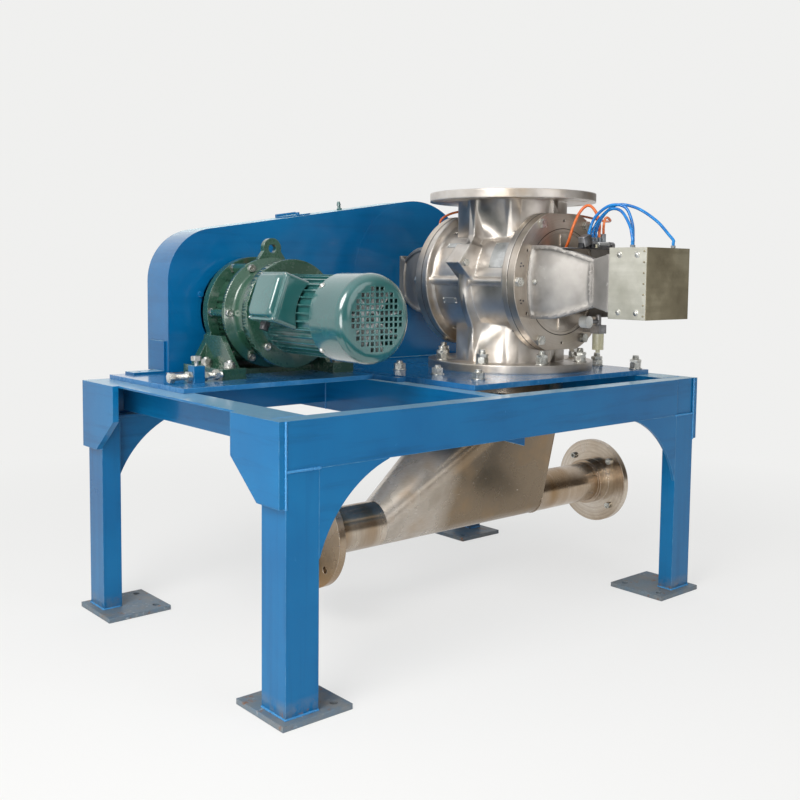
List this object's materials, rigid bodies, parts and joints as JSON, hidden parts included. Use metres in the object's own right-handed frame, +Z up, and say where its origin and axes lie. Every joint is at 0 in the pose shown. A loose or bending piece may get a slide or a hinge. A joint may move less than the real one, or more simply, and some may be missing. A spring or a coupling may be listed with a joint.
{
  "type": "rotary airlock valve",
  "caption": "Chain-driven rotary airlock valve with geared motor on a welded channel frame, dropping powder through a shoe into a flanged conveying pipe.",
  "frame": {"origin": "centre of the machine's footprint on the floor, under the middle of its bounding box", "axes": "+Z up, +X along the frame towards the valve end, +Y from the sensor box to the chain casing"},
  "size_m": [1.528, 1.057, 1.126],
  "materials": {
    "frame_paint": "gloss enamel with brush and weld texture",
    "stainless": "satin, bead blasted casting and polished sheet",
    "reducer_paint": "semi gloss",
    "motor_paint": "semi gloss hammered",
    "zinc": "zinc plated",
    "sheet_steel": "brushed sheet",
    "sheet_cover": "brushed sheet",
    "dark_steel": "machined and oiled",
    "shaft_steel": "ground",
    "seal_rubber": "matt",
    "black_plastic": "matt",
    "red_plastic": "gloss",
    "grey_plastic": "satin",
    "blue_tube": "gloss",
    "orange_tube": "gloss",
    "manifold_metal": "satin",
    "bowl_plastic": "translucent",
    "gauge": "polished"
  },
  "bodies": {
    "base": {"main_beams": "frame_paint", "side_rails": "frame_paint", "cross_beam": "frame_paint", "legs": "frame_paint", "feet": "frame_paint", "corner_plates": "frame_paint", "arch_gussets": "frame_paint", "motor_plate": "frame_paint", "valve_plate": "frame_paint", "plate_bolts": "zinc", "valve_body": "stainless", "end_covers": "stainless", "cover_bolts": "zinc", "outlet_studs": "zinc", "shaft_seals": "seal_rubber", "bearing_yokes": "stainless", "bearings": "dark_steel", "chain": "dark_steel", "guard_shell": "frame_paint", "guard_back": "frame_paint", "hatch_hinge": "frame_paint", "guard_breather": "grey_plastic", "guard_brackets": "frame_paint", "guard_screws": "frame_paint", "reducer_base": "reducer_paint", "reducer_case": "reducer_paint", "lifting_lug": "reducer_paint", "filler_plug": "red_plastic", "reducer_bolts": "zinc", "motor_housing": "motor_paint", "fan_cowl": "motor_paint", "terminal_box": "motor_paint", "terminal_cover": "motor_paint", "motor_screws": "zinc", "cable_gland": "black_plastic", "jack_block": "frame_paint", "drive_bolts": "zinc", "sensor_box": "sheet_steel", "box_cover": "sheet_cover", "box_screws": "zinc", "speed_sensor": "black_plastic", "air_manifold": "manifold_metal", "air_fittings": "grey_plastic", "blue_tubes": "blue_tube", "copper_tubes": "orange_tube", "air_regulator": "manifold_metal", "regulator_bowl": "bowl_plastic", "pressure_gauge": "gauge", "shoe": "stainless", "pipe_ends": "stainless", "pipe_flanges": "stainless"},
    "rotor_set": {"rotor": "stainless", "rotor_shaft": "shaft_steel", "speed_disc": "dark_steel", "driven_sprocket": "dark_steel"},
    "output_set": {"output_shaft": "shaft_steel", "drive_sprocket": "dark_steel"},
    "motor_set": {"motor_shaft": "shaft_steel", "fan": "black_plastic"},
    "hatch": {"guard_hatch": "frame_paint"}
  },
  "joints": [
    {"name": "rotor_spin", "type": "hinge", "parent": "base", "child": "rotor_set", "pos_m": [0.347, 0.0125, 0.874], "axis": [0, 1, 0], "continuous": true},
    {"name": "output_spin", "type": "hinge", "parent": "base", "child": "output_set", "pos_m": [-0.321, 0.4255, 0.785], "axis": [0, 1, 0], "continuous": true},
    {"name": "motor_spin", "type": "hinge", "parent": "base", "child": "motor_set", "pos_m": [-0.321, 0.0255, 0.785], "axis": [0, 1, 0], "continuous": true},
    {"name": "hatch_hinge", "type": "hinge", "parent": "base", "child": "hatch", "pos_m": [-0.11533, 0.5055, 1.06552], "axis": [-0.9882, 0, -0.153], "range_deg": [0, 105]}
  ],
  "couplings": [
    {"joint": "output_spin", "follows": "rotor_spin", "ratio": 3},
    {"joint": "motor_spin", "follows": "rotor_spin", "ratio": -51}
  ]
}
